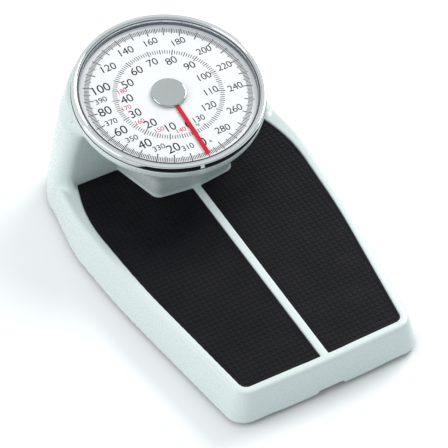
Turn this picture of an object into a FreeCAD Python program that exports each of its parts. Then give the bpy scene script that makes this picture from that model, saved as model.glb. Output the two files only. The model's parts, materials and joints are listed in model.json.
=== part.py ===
"""Mechanical dial platform scale: lever base, spring, bell crank, rack and pinion, raised dial.

Millimetres, +Z up. The origin is on the floor under the middle of the object's own box, and the
person stands on the mats facing +Y, looking down at the dial.
"""
import FreeCAD, Part

import math
import os

# ---------------------------------------------------------------- driving dimensions
SKIRT_Z = 5.5              # lower edge of the white cover above the floor
RIM_Z = 43.6               # top of the rim round the mats
MAT_TOP_Z = 43.0
DECK_Z = 40.2              # floor of the mat recess
DECK_UNDER_Z = 37.4
WALL = 2.5                 # moulded cover thickness
Y_WALL = 126.1             # wall behind the mats, where the rear housing starts
STRIP_HALF = 4.8           # half width of the raised strip between the mats
MAT_GAP = 0.3

# right-hand corners of the plan outlines, front to back: x, y, corner radius
MAT_PLAN = [(0, -208.7, 1500), (93.5, -207.2, 9), (118.5, -40, 1000), (126.8, 76, 190),
            (112.5, 126.1, 0)]
RIM_PLAN = [(0, -218.6, 1500), (101.5, -216.6, 16), (129, -40, 1000), (138, 78, 190),
            (132.6, 139, 0)]
SKIRT_PLAN = [(0, -225.9, 1500), (109.5, -222.5, 22), (141, -22, 1000), (148, 66, 190),
              (138.2, 141, 0)]
STEM_BASE = [(0, 61.5, 160), (45.5, 67.5, 10), (64.7, 136, 0)]
STEM_MIDDLE = [(0, 58.0, 160), (48.0, 64.0, 12), (66.5, 136, 0)]
STEM_TOP = [(0, 46.0, 160), (56.0, 54.0, 18), (72.0, 136, 0)]
STEM_LEVELS = (39.0, 70.0, 104.0)

# rear housing sections: height at the wall, tilt, half width, depth behind the wall
HOUSING = [(SKIRT_Z, 0.0, 138.7, 99.2), (43.0, 0.0, 133.6, 97.8), (84.7, 3.5, 124.5, 96.5),
           (113.0, 7.0, 115.5, 97.0), (129.5, 9.0, 104.0, 100.0)]
HOUSING_CORNER = 15.0

# dial frame: u to the right, v uphill to the back, w out of the dial; w = 0 is the bezel's top
DIAL_Y, DIAL_Z, DIAL_TILT = 120.9, 139.0, 9.0
BEZEL_R, BEZEL_BORE, BEZEL_DEPTH, SPIGOT = 105.0, 96.4, 7.4, 1.2
LIP_R, LIP_TOP, LIP_LOW = 105.8, -8.0, -20.4
CHART_R, CHART_W, CHART_THICK = 99.2, -8.6, 1.0
CHAMBER_W = -12.0          # roof of the chamber under the chart ledge
HUB_CAP_R, HUB_CAP_TOP, HUB_CAP_LOW = 19.3, -5.1, -7.8    # clear of the lens at full load
LENS_R, LENS_LOW, LENS_THICK = 99.0, -3.1, 1.3
POINTER_LOW, POINTER_TOP = -7.6, -7.0
SHAFT_R = 1.5

# lever system
FULCRUM_Y, FULCRUM_Z, FULCRUM_X = -178.0, 19.0, 94.0
REAR_FULCRUM_Y, REAR_FULCRUM_X = 96.0, 112.0
LOAD_ARM = 45.0            # fulcrum to load pin
NOSE_Y, NOSE_DROP = 188.0, 14.0
NOSE_X = 22.0
LINK_Y = (FULCRUM_Y + REAR_FULCRUM_Y) / 2
PIN_R = 2.0
STRIP_THICK = 2.5

# rack, pinion and bell crank
MODULE, PINION_TEETH = 0.4, 16
POINTER_TURN = math.radians(468.0)
PINION_PITCH_R = MODULE * PINION_TEETH / 2
RACK_TRAVEL = PINION_PITCH_R * POINTER_TURN
RACK_W = -56.6             # level of the rack in the dial frame
RACK_PIN_V = 6.0           # crank pin along the rack at no load
CRANK_IN = 30.2            # pivot to the nose pin, level
CRANK_HALF = math.atan2(NOSE_DROP / 2, CRANK_IN)
CRANK_OUT = RACK_TRAVEL / 2 / math.sin(CRANK_HALF)
CRANK_X = -12.75           # plane of the crank plate
CRANK_PIN_R = 1.2

# gear plates in the dial frame: pillar places and plate levels
PILLARS = [(-12.5, -22), (18, -22), (18, 6)]
PLATE_LOW, PLATE_HIGH, PLATE_THICK = -64.0, -50.0, 1.5

# fastening places on the pan and under the deck: x, y
FEET = [(-84, -198), (84, -198), (-112, 140), (112, 140)]
COVER_SCREWS = [(-62, -172), (62, -172), (-40, -30), (40, -30), (-60, 76), (60, 76)]

SPRING_TOP_Z = 81.0
SPRING_COIL_R, SPRING_WIRE_R, SPRING_PITCH = 6.0, 1.1, 2.9
SPRING_LOW_Z, SPRING_HIGH_Z = 36.0, 71.0     # ends of the coils at no load
SCREW_Y, SCREW_R = 209.0, 2.5
WHEEL_R, WHEEL_LOW, WHEEL_HIGH, WHEEL_FLUTES = 15.0, 6.5, 11.0, 24
TOWER_HALF, TOWER_TOP_Z = 19.1, 96.0

# pan and pressed steel brackets that stand on it
PAN_UNDER_Z, PAN_SHEET = 4.0, 1.2
PAN_Z = PAN_UNDER_Z + PAN_SHEET
BRACKET_SHEET = 1.6
FLANGE_Z = PAN_Z + BRACKET_SHEET

LEVER_ANGLE = NOSE_DROP / (NOSE_Y - FULCRUM_Y)
PLATFORM_TRAVEL = LEVER_ANGLE * LOAD_ARM


# ---------------------------------------------------------------- helpers
def vec(x, y, z=0.0):
    return FreeCAD.Vector(x, y, z)


def box(x0, x1, y0, y1, z0, z1):
    return Part.makeBox(x1 - x0, y1 - y0, z1 - z0, vec(x0, y0, z0))


def cyl(radius, start, end):
    axis = end - start
    return Part.makeCylinder(radius, axis.Length, start, axis)


def cyl_x(radius, x0, x1, y, z):
    return cyl(radius, vec(x0, y, z), vec(x1, y, z))


def cyl_z(radius, x, y, z0, z1):
    return cyl(radius, vec(x, y, z0), vec(x, y, z1))


def fuse(shapes):
    first, *rest = shapes
    return first.multiFuse(rest).removeSplitter() if rest else first


def turn_x(shape, degrees, centre):
    turned = shape.copy()
    turned.rotate(centre, vec(1, 0, 0), degrees)
    return turned


def in_dial(shape):
    """Move a shape drawn about the origin into the dial frame."""
    placed = turn_x(shape, DIAL_TILT, vec(0, 0, 0))
    placed.translate(vec(0, DIAL_Y, DIAL_Z))
    return placed


def dial_point(u, v, w):
    c, s = math.cos(math.radians(DIAL_TILT)), math.sin(math.radians(DIAL_TILT))
    return vec(u, DIAL_Y + v * c - w * s, DIAL_Z + v * s + w * c)


def revolved(profile):
    """Solid of revolution about the dial axis from (radius, w) points."""
    points = [vec(r, 0, w) for r, w in profile]
    face = Part.Face(Part.makePolygon(points + [points[0]]))
    return in_dial(face.revolve(vec(0, 0, 0), vec(0, 0, 1), 360))


def rounded(corners, z):
    """Closed wire through (x, y, radius) corners, with a tangent arc at each rounded one."""
    points = [vec(x, y, z) for x, y, _ in corners]
    ends = []
    for i, (_, _, radius) in enumerate(corners):
        here = points[i]
        back, ahead = points[i - 1] - here, points[(i + 1) % len(points)] - here
        back.normalize()
        ahead.normalize()
        half = back.getAngle(ahead) / 2
        reach = radius / math.tan(half)
        middle = back + ahead
        middle.normalize()
        ends.append((here + back * reach, here + middle * (radius / math.sin(half) - radius),
                     here + ahead * reach, radius))
    edges = []
    for i, (start, peak, end, radius) in enumerate(ends):
        edges.append(Part.makeLine(ends[i - 1][2], start))
        if radius:
            edges.append(Part.Arc(start, peak, end).toShape())
    return Part.Wire(edges)


def mirrored(half):
    """Both sides of a plan outline given by its right-hand corners, front middle first."""
    return half + [(-x, y, r) for x, y, r in reversed(half) if x]


def inset(wire, amount):
    return wire.makeOffset2D(-amount) if amount else wire


def prism(wire, height):
    return Part.Face(wire).extrude(vec(0, 0, height))


def bar(start, end, z_low, z_high, thick):
    """Upright strip between two plan points, with its heights given at start and end."""
    along = end - start
    side = vec(-along.y, along.x, 0)
    side.normalize()
    side = side * (thick / 2)
    faces = []
    for offset in (side, side * -1):
        a, b = start + offset, end + offset
        faces.append(Part.makePolygon([vec(a.x, a.y, z_low[0]), vec(b.x, b.y, z_low[1]),
                                       vec(b.x, b.y, z_high[1]), vec(a.x, a.y, z_high[0]),
                                       vec(a.x, a.y, z_low[0])]))
    return Part.makeLoft(faces, True, True)


def hexagon(across, x, y, z, height):
    radius = across / math.sqrt(3)
    points = [vec(x + radius * math.cos(math.radians(60 * i)),
                  y + radius * math.sin(math.radians(60 * i)), z) for i in range(7)]
    return Part.Face(Part.makePolygon(points)).extrude(vec(0, 0, height))


# ---------------------------------------------------------------- white cover
def deck_form(skin):
    """Low drafted body under the mats; skin is how far it lies inside the outer surface."""
    skirt, rim = mirrored(SKIRT_PLAN), mirrored(RIM_PLAN)
    if skin:
        levels = [(skirt, SKIRT_Z - 1, skin), (rim, DECK_UNDER_Z, skin)]
    else:
        levels = [(skirt, SKIRT_Z, 0), (rim, RIM_Z - 3, 0), (rim, RIM_Z, 2.6)]
    return Part.makeLoft([inset(rounded(plan, z), by) for plan, z, by in levels], True, True)


def housing_section(z, tilt, half, depth, corner):
    """D-shaped section: straight front on the wall, rounded corners, half-elliptic back."""
    flat = half - corner
    diagonal = corner * math.sqrt(0.5)
    edges = [Part.makeLine(vec(-flat, 0), vec(flat, 0)),
             Part.Arc(vec(flat, 0), vec(flat + diagonal, corner - diagonal),
                      vec(half, corner)).toShape(),
             Part.Arc(Part.Ellipse(vec(0, corner), half, depth - corner), 0, math.pi).toShape(),
             Part.Arc(vec(-half, corner), vec(-flat - diagonal, corner - diagonal),
                      vec(-flat, 0)).toShape()]
    wire = Part.Wire(edges)
    wire.Placement = FreeCAD.Placement(vec(0, Y_WALL, z), FreeCAD.Rotation(vec(1, 0, 0), tilt))
    return wire


def housing_form(skin):
    wires = []
    for i, (z, tilt, half, depth) in enumerate(HOUSING):
        low = 1.0 if skin and i == 0 else 0.0
        wire = housing_section(z - low, tilt, half - skin, depth - 2 * skin,
                               HOUSING_CORNER - skin)
        wire.translate(vec(0, skin, 0))
        wires.append(wire)
    return Part.makeLoft(wires, True, False)


def pod_form(skin):
    """Round dial pod; the inner one is the chamber below the chart ledge."""
    if skin:
        return revolved([(0, CHAMBER_W), (LIP_R - 3.2, CHAMBER_W), (LIP_R - 3.4, -19.6),
                         (96.5, -21.6), (64.0, -37.4), (0, -37.4)])
    return revolved([(0, LIP_TOP), (LIP_R, LIP_TOP), (LIP_R - 0.8, LIP_LOW), (103.0, -22.8),
                     (98.0, -24.4), (65.0, -40.0), (0, -40.0)])


def stem_form(skin):
    """Neck from the deck to the pod, widening upwards."""
    shifts = (-4, -4, 2) if skin else (0, 0, 0)
    wires = []
    for half, z, shift in zip((STEM_BASE, STEM_MIDDLE, STEM_TOP), STEM_LEVELS, shifts):
        wires.append(inset(rounded(mirrored(half), z + shift), skin))
    return Part.makeLoft(wires, True, True)


def mat_region(gap, z0, z1):
    """Both mats in one piece, reaching to the wall, with the neck cut out."""
    plan = prism(inset(rounded(mirrored(MAT_PLAN), z0), gap), z1 - z0)
    neck = prism(inset(rounded(mirrored(STEM_BASE), z0 - 1), -1.2 - gap), z1 - z0 + 2)
    return plan.cut(neck)


def platform_cover():
    deck = deck_form(0).cut(mat_region(0, DECK_Z, RIM_Z + 1))
    strip = box(-STRIP_HALF, STRIP_HALF, -206, 70, DECK_Z - 0.5, MAT_TOP_Z + 0.4)
    outer = fuse([deck, strip, stem_form(0), housing_form(0), pod_form(0)])
    inner = fuse([deck_form(WALL), stem_form(WALL), housing_form(WALL), pod_form(WALL)])
    cover = outer.cut(inner)
    seat = revolved([(0, LIP_TOP + 1), (CHART_R + 0.5, LIP_TOP + 1),
                     (CHART_R + 0.5, CHART_W - CHART_THICK), (88.0, CHART_W - CHART_THICK),
                     (88.0, CHAMBER_W - 1), (0, CHAMBER_W - 1)])
    front_notch = box(-15, 15, -230, -210, SKIRT_Z - 1, SKIRT_Z + 3.2)
    wheel_slot = box(-20, 20, 200, 230, SKIRT_Z - 1, SKIRT_Z + 9)
    return cover.cut(seat).cut(front_notch).cut(wheel_slot)


def mats():
    both = mat_region(MAT_GAP, DECK_Z, MAT_TOP_Z)
    edge = STRIP_HALF + MAT_GAP
    return (both.common(box(-200, -edge, -300, 300, 0, 60)),
            both.common(box(edge, 200, -300, 300, 0, 60)))


# ---------------------------------------------------------------- dial
def dial_bezel():
    groove_low, groove_top = LENS_LOW - 1.2, LENS_LOW + LENS_THICK
    foot = -BEZEL_DEPTH - SPIGOT
    return revolved([(BEZEL_BORE, foot), (CHART_R, foot),
                     (CHART_R, -BEZEL_DEPTH), (BEZEL_R, -BEZEL_DEPTH), (BEZEL_R, -2.0),
                     (BEZEL_R - 0.6, -0.6), (BEZEL_R - 2.0, 0.0), (BEZEL_R - 3.4, -0.3),
                     (BEZEL_BORE + 1.4, -1.6), (BEZEL_BORE + 1.2, groove_top),
                     (LENS_R + 0.1, groove_top), (LENS_R + 0.1, groove_low),
                     (BEZEL_BORE, groove_low)])


def dial_lens():
    return revolved([(0, LENS_LOW), (LENS_R, LENS_LOW), (LENS_R, LENS_LOW + LENS_THICK),
                     (0, LENS_LOW + LENS_THICK)])


def lens_gasket():
    return revolved([(BEZEL_BORE + 0.4, LENS_LOW - 1.2), (LENS_R, LENS_LOW - 1.2),
                     (LENS_R, LENS_LOW), (BEZEL_BORE + 0.4, LENS_LOW)])


def dial_chart():
    low = CHART_W - CHART_THICK
    return revolved([(5.0, low), (CHART_R, low), (CHART_R, CHART_W),
                     (5.0, CHART_W)])


def hub_cap():
    shell = revolved([(0, HUB_CAP_TOP - 1.2), (17.6, HUB_CAP_TOP - 1.2), (17.9, HUB_CAP_LOW),
                      (HUB_CAP_R, HUB_CAP_LOW), (HUB_CAP_R, HUB_CAP_TOP - 1.0),
                      (HUB_CAP_R - 0.9, HUB_CAP_TOP), (0, HUB_CAP_TOP)])
    slot = in_dial(box(-2.7, 2.7, -22, 22, HUB_CAP_LOW - 1, POINTER_TOP + 0.2))
    return shell.cut(slot)


def pointer():
    blade = box(-2.35, 2.35, -88.5, -4, POINTER_LOW, POINTER_TOP)
    tail = box(-2.35, 2.35, 4, 16.5, POINTER_LOW, POINTER_TOP)
    ring = Part.makeCylinder(6, POINTER_TOP - POINTER_LOW, vec(0, 0, POINTER_LOW))
    bore = Part.makeCylinder(SHAFT_R, 3, vec(0, 0, POINTER_LOW - 1))
    return in_dial(fuse([blade, tail, ring]).cut(bore))


def pointer_boss():
    low = POINTER_LOW - 1.2
    return revolved([(SHAFT_R, low), (4.0, low), (4.0, POINTER_LOW), (SHAFT_R, POINTER_LOW)])


def pointer_shaft():
    return revolved([(0, -67.0), (SHAFT_R, -67.0), (SHAFT_R, POINTER_TOP + 0.5),
                     (0, POINTER_TOP + 0.5)])


# ---------------------------------------------------------------- gear train
def pinion():
    """Involute pinion, thinned for backlash, on the pointer shaft."""
    teeth, pitch_r = PINION_TEETH, PINION_PITCH_R
    pressure = math.radians(20)
    base_r = pitch_r * math.cos(pressure)
    tip_r, root_r = pitch_r + 0.8 * MODULE, pitch_r - 1.15 * MODULE
    involute = math.tan(pressure) - pressure
    half_pitch = math.pi / 2 / teeth - 0.035 / pitch_r
    points = []
    for k in range(teeth):
        # a tooth space stands at the rack side (-X) at no load
        middle = math.pi + (k + 0.5) * 2 * math.pi / teeth
        flank = []
        for r in (root_r, base_r, (base_r + pitch_r) / 2, pitch_r, (pitch_r + tip_r) / 2, tip_r):
            a = math.acos(min(1.0, base_r / r))
            half = half_pitch + involute - (math.tan(a) - a)
            flank.append((r, half))
        for r, half in flank:
            points.append((r, middle - half))
        for r, half in reversed(flank):
            points.append((r, middle + half))
    outline = [vec(r * math.cos(t), r * math.sin(t), RACK_W - 2.5) for r, t in points]
    gear = Part.Face(Part.makePolygon(outline + [outline[0]])).extrude(vec(0, 0, 5))
    return in_dial(gear.cut(Part.makeCylinder(SHAFT_R, 10, vec(0, 0, RACK_W - 5))))


def rack():
    """Straight rack on the left of the pinion, with a slotted eye for the crank pin."""
    pitch = math.pi * MODULE
    slope = math.tan(math.radians(20))
    line = -PINION_PITCH_R
    tip, root = line + 0.8 * MODULE, line - 1.15 * MODULE
    half = pitch / 4 - 0.035
    count = int((RACK_TRAVEL + 4) / pitch) + 1
    first = -math.ceil((RACK_TRAVEL + 2) / pitch) * pitch
    outline = [(-9.5, first - 4), (root, first - 4)]
    for k in range(count):
        v = first + k * pitch
        outline += [(root, v - half - (line - root) * slope), (tip, v - half + (tip - line) * slope),
                    (tip, v + half - (tip - line) * slope), (root, v + half + (line - root) * slope)]
    outline += [(root, RACK_PIN_V - 4), (-6.5, RACK_PIN_V - 4), (-6.5, RACK_PIN_V + 4),
                (-9.5, RACK_PIN_V + 4)]
    points = [vec(x, v, RACK_W - 1.5) for x, v in outline]
    strip = Part.Face(Part.makePolygon(points + [points[0]])).extrude(vec(0, 0, 3))
    rise = CRANK_OUT * (1 - math.cos(CRANK_HALF))
    eye = box(-9.5, -6.5, RACK_PIN_V - 4, RACK_PIN_V + 4, RACK_W - rise - 3.9, RACK_W + 4.5)
    wide = CRANK_PIN_R + 0.3
    slot = fuse([box(-12, -4, RACK_PIN_V - wide, RACK_PIN_V + wide, RACK_W - rise - 0.3, RACK_W),
                 cyl_x(wide, -12, -4, RACK_PIN_V, RACK_W),
                 cyl_x(wide, -12, -4, RACK_PIN_V, RACK_W - rise - 0.3)])
    return in_dial(fuse([strip, eye]).cut(slot))


def crank_points():
    """Crank pivot, output pin and nose pin at no load, in the object's frame."""
    v = RACK_PIN_V + RACK_TRAVEL / 2
    pivot = dial_point(0, v, RACK_W - CRANK_OUT)
    out_pin = dial_point(0, RACK_PIN_V, RACK_W - CRANK_OUT * (1 - math.cos(CRANK_HALF)))
    nose_pin = vec(0, pivot.y + CRANK_IN, pivot.z + NOSE_DROP / 2)
    return pivot, out_pin, nose_pin


def arm(a, b, width_a, width_b, x0, x1):
    """Flat tapered arm between two points of a plane across X."""
    along = b - a
    normal = vec(0, -along.z, along.y)
    normal.normalize()
    outline = [a + normal * width_a, b + normal * width_b, b - normal * width_b,
               a - normal * width_a]
    points = [vec(x0, p.y, p.z) for p in outline]
    blade = Part.Face(Part.makePolygon(points + [points[0]])).extrude(vec(x1 - x0, 0, 0))
    ends = [cyl_x(width_a, x0, x1, a.y, a.z), cyl_x(width_b, x0, x1, b.y, b.z)]
    return fuse([blade] + ends)


def bell_crank():
    pivot, out_pin, nose_pin = crank_points()
    x0, x1 = CRANK_X - 1.25, CRANK_X + 1.25
    upper = arm(pivot, out_pin, 5.5, 3.0, x0, x1)
    reach = nose_pin - pivot
    reach.normalize()
    lower = arm(pivot, nose_pin + reach * 3.5, 5.5, 4.0, x0, x1)
    bore = cyl_x(3.2, x0 - 5, x1 + 5, pivot.y, pivot.z)
    out_hole = cyl_x(CRANK_PIN_R, x0 - 5, x1 + 5, out_pin.y, out_pin.z)
    slot = arm(nose_pin - reach * 0.9, nose_pin + reach * 0.9, 1.9, 1.9, x0 - 5, x1 + 5)
    return fuse([upper, lower]).cut(fuse([bore, out_hole, slot]))


def crank_bush():
    pivot, _, _ = crank_points()
    body = cyl_x(3.2, CRANK_X - 3.2, CRANK_X + 3.2, pivot.y, pivot.z)
    return body.cut(cyl_x(PIN_R + 0.05, CRANK_X - 5, CRANK_X + 5, pivot.y, pivot.z))


def crank_pin():
    _, out_pin, _ = crank_points()
    return cyl_x(CRANK_PIN_R, CRANK_X - 1.8, -5.6, out_pin.y, out_pin.z)


def crank_bracket():
    pivot, _, _ = crank_points()
    ears = [box(x, x + 2, pivot.y - 8, pivot.y + 8, PAN_Z, pivot.z + 6)
            for x in (-18.6, -8.9)]
    floor = box(-26, -1, pivot.y - 8, pivot.y + 8, PAN_Z, FLANGE_Z)
    hole = cyl_x(PIN_R, -30, 0, pivot.y, pivot.z)
    return fuse(ears + [floor]).cut(hole)


def crank_pivot_pin():
    pivot, _, _ = crank_points()
    return cyl_x(PIN_R, -19.6, -5.9, pivot.y, pivot.z)


def gear_plate(w0, w1):
    plate = fuse([box(-16, 22, -26, 1.3, w0, w1), box(-10.8, 22, 1.3, 10, w0, w1)])
    holes = [Part.makeCylinder(4.0, 10, vec(0, 0, w0 - 4))]
    holes += [Part.makeCylinder(1.5, 10, vec(x, v, w0 - 4)) for x, v in PILLARS]
    return in_dial(plate.cut(fuse(holes)))


def gear_pillars():
    """Three shouldered pillars between the gear plates."""
    posts = []
    for x, v in PILLARS:
        body = Part.makeCylinder(2.6, PLATE_HIGH - PLATE_LOW - PLATE_THICK,
                                 vec(x, v, PLATE_LOW + PLATE_THICK))
        ends = Part.makeCylinder(1.5, PLATE_HIGH - PLATE_LOW + PLATE_THICK,
                                 vec(x, v, PLATE_LOW))
        posts.append(in_dial(fuse([body, ends])))
    return Part.makeCompound(posts)


def shaft_bush(w):
    inner = SHAFT_R + 0.05
    return revolved([(inner, w - 0.6), (4.0, w - 0.6), (4.0, w + PLATE_THICK),
                     (5.2, w + PLATE_THICK), (5.2, w + PLATE_THICK + 1.0),
                     (inner, w + PLATE_THICK + 1.0)])


def rack_guide():
    """Channel behind and under the rack that keeps it against the pinion."""
    back = box(-13.4, -9.8, -8, 1.2, PLATE_LOW + PLATE_THICK, RACK_W + 3)
    shelf = box(-13.4, -5.6, -8, 1.2, PLATE_LOW + PLATE_THICK, RACK_W - 1.8)
    return in_dial(fuse([back, shelf]))


def dial_mast():
    """Bent steel post that carries the gear plates above the pan."""
    upright = box(-8, 20, 113, 113 + BRACKET_SHEET, PAN_Z, 90)
    foot = box(-8, 20, 92, 113 + BRACKET_SHEET, PAN_Z, FLANGE_Z)
    above = in_dial(box(-60, 60, -80, 80, PLATE_LOW - BRACKET_SHEET, 40))
    flange = in_dial(box(-8, 20, -26, -8, PLATE_LOW - BRACKET_SHEET, PLATE_LOW))
    return fuse([upright.cut(above), foot, flange])


# ---------------------------------------------------------------- base
def pan_plan(by, z0, height):
    deck = prism(inset(rounded(mirrored(SKIRT_PLAN), z0), by), height)
    _, _, half, depth = HOUSING[0]
    rear = housing_section(z0, 0, half - by, depth - by, HOUSING_CORNER)
    return fuse([deck, prism(rear, height)])


def base_pan():
    tray = pan_plan(8.5, PAN_UNDER_Z, 11.0).cut(pan_plan(8.5 + PAN_SHEET, PAN_Z, 20))
    holes = [cyl_z(2.0, x, y, 0, 10) for x, y in FEET]
    wheel_gap = box(-20, 20, 205, 230, PAN_Z, 20)
    return tray.cut(fuse(holes)).cut(wheel_gap)


def rubber_foot(x, y):
    profile = [vec(2.0, 0, 4.0), vec(13, 0, 4.0), vec(13, 0, 1.0), vec(12, 0, 0.0),
               vec(5.2, 0, 0.0), vec(5.2, 0, 2.2), vec(2.0, 0, 2.2)]
    foot = Part.Face(Part.makePolygon(profile + [profile[0]]))
    foot = foot.revolve(vec(0, 0, 0), vec(0, 0, 1), 360)
    foot.translate(vec(x, y, 0))
    return foot


def foot_screws():
    screws = []
    for x, y in FEET:
        screws.append(fuse([cyl_z(4.6, x, y, 0.7, 2.2), cyl_z(2.0, x, y, 2.0, 9.5)]))
    return Part.makeCompound(screws)


def foot_nuts():
    nuts = [hexagon(7.0, x, y, PAN_Z, 3.2).cut(cyl_z(2.0, x, y, 0, 12)) for x, y in FEET]
    return Part.makeCompound(nuts)


def fulcrum_post(x, y):
    """U-shaped bearing post with a running hole for a lever's pivot pin."""
    ears = [box(x + dx, x + dx + 2, y - 7, y + 7, PAN_Z, FULCRUM_Z + 6) for dx in (-7.5, 5.5)]
    floor = box(x - 7.5, x + 7.5, y - 7, y + 7, PAN_Z, FLANGE_Z)
    return fuse(ears + [floor]).cut(cyl_x(PIN_R + 0.05, x - 9, x + 9, y, FULCRUM_Z))


def spring_tower():
    inner = TOWER_HALF - BRACKET_SHEET
    legs = [box(x, x + BRACKET_SHEET, 200, 214, PAN_Z, TOWER_TOP_Z) for x in (-TOWER_HALF, inner)]
    feet = [box(-28, -inner, 200, 214, PAN_Z, FLANGE_Z), box(inner, 28, 200, 214, PAN_Z, FLANGE_Z)]
    top = box(-TOWER_HALF, TOWER_HALF, 200, 214, TOWER_TOP_Z - BRACKET_SHEET, TOWER_TOP_Z)
    return fuse(legs + feet + [top]).cut(cyl_z(SCREW_R + 0.05, 0, SCREW_Y, 90, 100))


def zero_screw():
    body = cyl_z(SCREW_R, 0, SCREW_Y, 5.5, 99)
    collar = cyl_z(4.5, 0, SCREW_Y, 92.6, 94.1)
    return fuse([body, collar])


def zero_wheel():
    """Knurled thumbwheel reached through the slot in the rear skirt."""
    wheel = cyl_z(WHEEL_R, 0, SCREW_Y, WHEEL_LOW, WHEEL_HIGH)
    flutes = []
    for i in range(WHEEL_FLUTES):
        a, reach = 2 * math.pi * i / WHEEL_FLUTES, WHEEL_R + 0.2
        flutes.append(cyl_z(0.9, reach * math.cos(a), SCREW_Y + reach * math.sin(a),
                            WHEEL_LOW - 0.5, WHEEL_HIGH + 1))
    return wheel.cut(fuse(flutes + [cyl_z(SCREW_R, 0, SCREW_Y, 5, 12)]))


def spring_anchor():
    """Threaded cross-piece on the zero screw that holds the spring's upper hook."""
    plate = box(-17.2, 17.2, 200.5, 213.5, SPRING_TOP_Z, SPRING_TOP_Z + 3)
    tongue = box(-4.5, 4.5, NOSE_Y - 5, 201, SPRING_TOP_Z, SPRING_TOP_Z + 3)
    holes = [cyl_z(SCREW_R + 0.05, 0, SCREW_Y, 70, 90), cyl_z(1.6, 0, NOSE_Y, 70, 90)]
    return fuse([plate, tongue]).cut(fuse(holes))


def main_spring():
    """Extension spring between the nose of the levers and the anchor."""
    coil_r, wire_r, pitch = SPRING_COIL_R, SPRING_WIRE_R, SPRING_PITCH
    low, high = SPRING_LOW_Z, SPRING_HIGH_Z
    helix = Part.makeHelix(pitch, high - low, coil_r)
    section = Part.Wire(Part.makeCircle(wire_r, vec(coil_r, 0, 0), vec(0, 1, 0)))
    coil = Part.Wire(helix.Edges).makePipeShell([section], True, True)
    coil.translate(vec(0, NOSE_Y, low))
    turns = (high - low) / pitch
    a = 2 * math.pi * turns
    end = vec(coil_r * math.cos(a), NOSE_Y + coil_r * math.sin(a), high)
    start = vec(coil_r, NOSE_Y, low)
    axis_low, axis_high = vec(0, NOSE_Y, low - 3), vec(0, NOSE_Y, high + 3)
    hooks = [cyl(wire_r, start, axis_low), cyl(wire_r, axis_low, vec(0, NOSE_Y, 24.5)),
             cyl(wire_r, end, axis_high), cyl(wire_r, axis_high, vec(0, NOSE_Y, 83.5))]
    hooks += [Part.makeSphere(wire_r, p) for p in (start, end, axis_low, axis_high)]
    return fuse([coil] + hooks)


# ---------------------------------------------------------------- levers
def lever_x(y):
    """Distance of the long lever's centre line from the middle at a given y."""
    share = (y - FULCRUM_Y) / (NOSE_Y - 8 - FULCRUM_Y)
    return FULCRUM_X + (NOSE_X - FULCRUM_X) * share


def short_x(y):
    share = (REAR_FULCRUM_Y - y) / (REAR_FULCRUM_Y - LINK_Y)
    return REAR_FULCRUM_X + (lever_x(LINK_Y) + 14.0 - REAR_FULCRUM_X) * share


def long_lever_pins(side):
    load_y = FULCRUM_Y + LOAD_ARM
    pins = [cyl_x(PIN_R, side * FULCRUM_X - 8.5, side * FULCRUM_X + 8.5, FULCRUM_Y, FULCRUM_Z),
            cyl_x(PIN_R, side * lever_x(load_y) - 8.5, side * lever_x(load_y) + 8.5, load_y,
                  FULCRUM_Z)]
    inner, outer = sorted((side * (lever_x(LINK_Y) - 2), side * (lever_x(LINK_Y) + 9)))
    pins.append(cyl_x(1.5, inner, outer, LINK_Y, 15.5))
    return Part.makeCompound(pins)


def long_lever(side):
    x = [side * lever_x(y) for y in (FULCRUM_Y - 8, LINK_Y + 30, NOSE_Y - 4)]
    front = bar(vec(x[0], FULCRUM_Y - 8), vec(x[1], LINK_Y + 30), (13, 12.6), (25, 25),
                STRIP_THICK)
    rear = bar(vec(x[1], LINK_Y + 30), vec(x[2], NOSE_Y - 4), (12.6, 22), (25, 28.5),
               STRIP_THICK)
    return fuse([front, rear]).cut(long_lever_pins(side)).cut(lever_yoke())


def lever_yoke():
    """Cross bar at the nose: spring eye in the middle, crank pin on the left."""
    _, _, nose_pin = crank_points()
    bar_across = box(-26, 26, NOSE_Y - 4, NOSE_Y + 4, 22.0, 26.0)
    post = box(-18.8, -16.3, NOSE_Y - 4, NOSE_Y + 4, 22.0, nose_pin.z + 3.5)
    eye = cyl_z(1.6, 0, NOSE_Y, 20, 30)
    pin = cyl_x(1.5, -17, -10.2, nose_pin.y, nose_pin.z)
    return fuse([bar_across, post, pin]).cut(eye)


def short_lever_pins(side):
    load_y = REAR_FULCRUM_Y - LOAD_ARM
    pins = [cyl_x(PIN_R, side * REAR_FULCRUM_X - 8.5, side * REAR_FULCRUM_X + 8.5,
                  REAR_FULCRUM_Y, FULCRUM_Z),
            cyl_x(PIN_R, side * short_x(load_y) - 8.5, side * short_x(load_y) + 8.5, load_y,
                  FULCRUM_Z)]
    inner, outer = sorted((side * (short_x(LINK_Y) - 9), side * (short_x(LINK_Y) + 2)))
    pins.append(cyl_x(1.5, inner, outer, LINK_Y, 22.5))
    return Part.makeCompound(pins)


def short_lever(side):
    start = vec(side * short_x(REAR_FULCRUM_Y + 8), REAR_FULCRUM_Y + 8)
    end = vec(side * short_x(LINK_Y - 5), LINK_Y - 5)
    return bar(start, end, (13, 17), (25, 27), STRIP_THICK).cut(short_lever_pins(side))


def lever_link(side):
    """Upright link that joins a short lever's tip to its long lever."""
    x = side * (lever_x(LINK_Y) + short_x(LINK_Y)) / 2
    plate = box(x - 1, x + 1, LINK_Y - 4.5, LINK_Y + 4.5, 11.0, 27.0)
    holes = [arm(vec(0, LINK_Y - 0.3, z), vec(0, LINK_Y + 0.3, z), 1.85, 1.85, x - 5, x + 5)
             for z in (15.5, 22.5)]
    return plate.cut(fuse(holes))


# ---------------------------------------------------------------- platform frame
def load_plate():
    plan = [(92, -196, 8), (104, -20, 0), (112, 60, 6), (84, 84, 6)]
    plate = prism(rounded(mirrored(plan), DECK_UNDER_Z - 1.5), 1.5)
    return plate.cut(fuse([cyl_z(2.0, x, y, 30, 40) for x, y in COVER_SCREWS]))


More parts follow.
